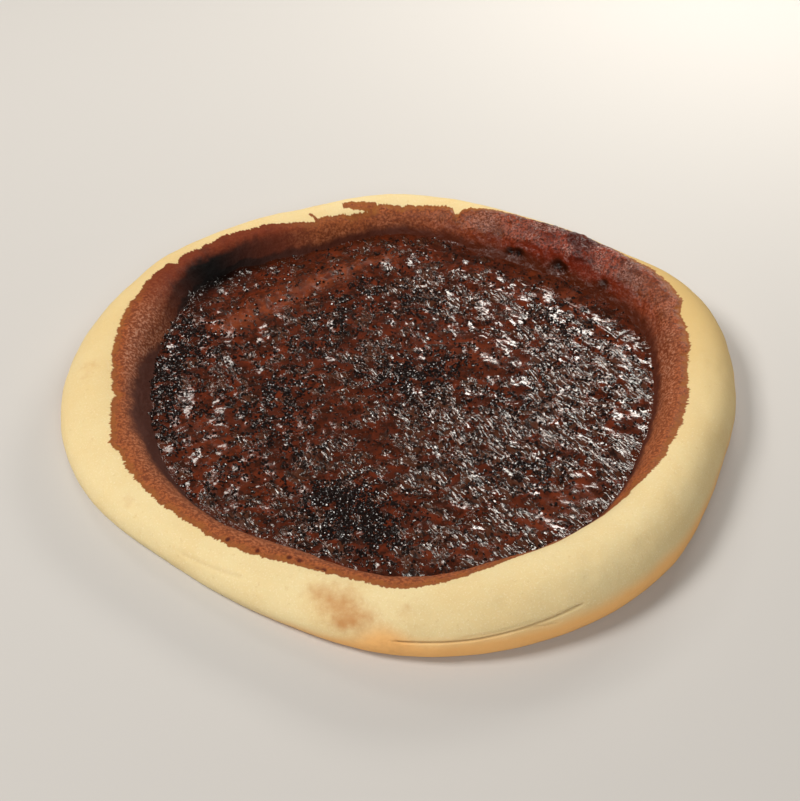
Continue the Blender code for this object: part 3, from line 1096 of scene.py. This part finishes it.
def film_finish():
    """Chocolate that dried on the rim: matt and fuzzy, and glossier where it blistered."""
    mat = Finish("chocolate_on_rim_finish")
    inside, blister = mat.kept("edge_mm", "blister")
    pits = mat.range(blister, 0.0, 1.0, 0.45, 1.0)
    pits = mat.bump(mat.noise(900.0, 2.0, 0.6), 0.0005, pits)
    knobs = mat.range(blister, 0.0, 1.0, 0.35, 1.0)
    mat.set(
        Base_Color=chocolate_on_rim_colour(mat, feathered(mat, inside)),
        Roughness=mat.math("SUBTRACT", 0.66, mat.times(blister, 0.48)),
        Normal=mat.bump(mat.noise(300.0), 0.0011, knobs, pits), Specular_IOR_Level=0.2)
    return mat.material


def pool_finish():
    """Baked chocolate, glossy and finely wrinkled, with painted highlights and shade in its
    wrinkles and painted shade by the far-left shore.
    """
    chocolate = bpy.context.scene.pizza_chocolate
    mat = Finish("chocolate_pool_finish")
    names = ("wrinkled", "red", "gloom", "grainy", "shore_mm")
    share, red, painted_shade_, grains, shore_ = mat.kept(*names)
    drift = mat.node(
        "ShaderNodeTexNoise", {"Vector": mat.coordinates, "Scale": 90.0, "Detail": 1.0})
    drift = mat.vector("MULTIPLY", drift.outputs["Color"], (0.004, 0.004, 0.004))
    turned = mat.node("ShaderNodeMapping", {
        "Vector": mat.vector("ADD", mat.coordinates, drift),
        "Rotation": (0.0, 0.0, math.radians(60.0))})
    drawn = mat.node(
        "ShaderNodeMapping", {"Vector": turned.outputs["Vector"], "Scale": (0.42, 1.0, 1.0)})
    strands = mat.noise(290.0, 1.6, 0.5, drawn.outputs["Vector"])
    strands = mat.math("ABSOLUTE", mat.math("SUBTRACT", strands, 0.5))
    spread = mat.swing(mat.noise(100.0, 3.0, 0.6), 0.25, 0.95)
    patch = mat.range(mat.plus(mat.math("MINIMUM", share, 0.7), spread), 0.4, 0.54)

    cloud = mat.noise(95.0, 4.0, 0.6)
    colour = mat.tone(cloud, 0.38, 0.66, chocolate.pool_colour, POOL_CLOUD)
    blush = mat.times(red, mat.range(mat.noise(260.0, 4.0, 0.6), 0.3, 0.62))
    colour = mat.mix(mat.times(blush, 0.8), colour, POOL_RED)
    plain = mat.range(red, 0.0, 1.0, 1.0, 0.45)
    mottle = mat.range(mat.noise(250.0, 4.0, 0.62), 0.38, 0.56, 0.85, 0.0)
    colour = mat.mix(mat.times(mottle, plain), colour, POOL_MOTTLE)
    # In the wrinkled patches the valleys go near black, painted shade, and the ridges lighter, a
    # painted highlight over a paler milky surface.
    skin_highlight_and_shade = mat.tone(strands, 0.0, 0.09, SKIN_VALLEY_SHADE, SKIN_RIDGE_HIGHLIGHT)
    colour = mat.mix(mat.times(patch, 0.85), colour, skin_highlight_and_shade)
    grain = mat.plus(mat.noise(640.0, 2.0, 0.6), mat.times(grains, 0.16))
    crumbs = mat.times(mat.range(grain, 0.62, 0.68), plain)
    colour = mat.mix(crumbs, colour, CRUMB)
    # By the far-left shore the pool goes near black, painted shade under the rim; every shore also
    # blends into the wall's foot colour.
    shade = mat.times(painted_shade_, mat.range(shore_, 17.0, 5.0))
    shade = mat.math("MAXIMUM", shade, mat.range(shore_, 7.0, 1.5))
    colour = mat.mix(shade, colour, mat.mix(painted_shade_, WALL_FOOT, WALL_PAINTED_SHADE))

    gloss = mat.range(mat.noise(160.0), 0.3, 0.7, 0.08, 0.2, False)
    gloss = mat.plus(gloss, mat.times(patch, 0.06))
    dull = mat.plus(mat.range(shore_, 5.0, 1.5, 0.0, 0.15), mat.times(red, 0.16))
    wrinkle = mat.times(strands, mat.range(patch, 0.0, 1.0, 0.08, 1.15, False))
    fine = mat.bump(crumbs, 0.0003, 1.0, mat.bump(wrinkle, 0.0017))
    uneven = mat.range(shore_, 7.0, 2.0, 0.25, 1.0, False)
    mat.set(
        Base_Color=colour, Roughness=mat.plus(gloss, dull),
        Normal=mat.bump(mat.noise(300.0, 2.0), 0.0011, uneven, fine), Specular_IOR_Level=0.5)
    return mat.material


def granule_finish():
    """Dark, glassy sugar."""
    chocolate = bpy.context.scene.pizza_chocolate
    mat = Finish("sugar_granule_finish")
    tint = mat.noise(2500.0, 1.0)
    mat.set(
        Base_Color=mat.tone(tint, 0.45, 0.62, chocolate.granule_colour, SUGAR_LIGHT),
        Roughness=0.1, Specular_IOR_Level=0.5)
    return mat.material


def softbox(name, place, size, power, colour):
    """A rectangular area light aimed at the middle of the pizza."""
    light = bpy.data.lights.new(name, "AREA")
    light.shape = "RECTANGLE"
    light.size, light.size_y = size
    light.energy, light.color = power, colour
    obj = bpy.data.objects.new(name, light)
    obj.location = place
    obj.rotation_euler = (-Vector(place)).to_track_quat("-Z", "Y").to_euler()
    bpy.context.scene.collection.objects.link(obj)


class PIZZA_OT_studio(bpy.types.Operator):
    """Lay the floor, hang the lights and set up the camera"""

    bl_idname = "pizza.studio"
    bl_label = "Studio"

    def execute(self, context):
        settings = context.scene.pizza_studio
        bm = bmesh.new()
        bmesh.ops.create_grid(bm, x_segments=1, y_segments=1, size=14.0)
        mesh = bpy.data.meshes.new("studio_floor")
        bm.to_mesh(mesh)
        bm.free()
        floor_finish = Finish("studio_floor_finish")
        floor_finish.set(Base_Color=settings.floor_colour, Roughness=0.7)
        mesh.materials.append(floor_finish.material)
        floor = bpy.data.objects.new("studio_floor", mesh)
        floor.location.z = -0.0002
        context.scene.collection.objects.link(floor)

        world = bpy.data.worlds.new("studio_air")
        world.use_nodes = True
        air = world.node_tree.nodes["Background"].inputs
        air["Color"].default_value = (1.0, 0.99, 0.97, 1.0)
        air["Strength"].default_value = settings.ambient
        context.scene.world = world
        for name, place, size, colour in SOFTBOXES:
            softbox(f"{name}_light", place, size, getattr(settings, name), colour)

        camera = bpy.data.cameras.new("camera")
        camera.lens, camera.sensor_width, camera.clip_start = 80.0, 36.0, 0.05
        obj = bpy.data.objects.new("camera", camera)
        place, aim = Vector(CAMERA_PLACE) - MIDDLE, Vector(CAMERA_AIM) - MIDDLE
        turn = (aim - place).to_track_quat("-Z", "Y").to_matrix().to_4x4()
        roll = Matrix.Rotation(math.radians(CAMERA_ROLL), 4, "Z")
        obj.matrix_world = Matrix.Translation(place * MM) @ turn @ roll
        context.scene.collection.objects.link(obj)
        context.scene.camera = obj
        context.scene.view_settings.view_transform = "Standard"
        return {"FINISHED"}


class PIZZA_PT_panel(bpy.types.Panel):
    """Lists the pieces of the pizza"""

    bl_label = "Chocolate Pizza"
    bl_idname = "PIZZA_PT_panel"
    bl_space_type = "VIEW_3D"
    bl_region_type = "UI"
    bl_category = "Pizza"

    def draw(self, context):
        for operator in OPERATORS:
            self.layout.operator(operator.bl_idname)


GROUPS = (
    ("pizza_dough", DoughSettings),
    ("pizza_chocolate", ChocolateSettings),
    ("pizza_studio", StudioSettings),
)
OPERATORS = (PIZZA_OT_dough, PIZZA_OT_film, PIZZA_OT_pool, PIZZA_OT_granules, PIZZA_OT_studio)


def register():
    """Add the settings, operators and panel."""
    for name, group in GROUPS:
        bpy.utils.register_class(group)
        setattr(bpy.types.Scene, name, bpy.props.PointerProperty(type=group))
    for kind in (*OPERATORS, PIZZA_PT_panel):
        bpy.utils.register_class(kind)


def unregister():
    """Take them away again."""
    for kind in (PIZZA_PT_panel, *reversed(OPERATORS)):
        bpy.utils.unregister_class(kind)
    for name, group in reversed(GROUPS):
        delattr(bpy.types.Scene, name)
        bpy.utils.unregister_class(group)


def main():
    """Model the whole pizza and its studio."""
    register()
    bpy.ops.pizza.dough()
    bpy.ops.pizza.film()
    bpy.ops.pizza.pool()
    bpy.ops.pizza.granules()
    bpy.ops.pizza.studio()


if __name__ == "__main__":
    main()
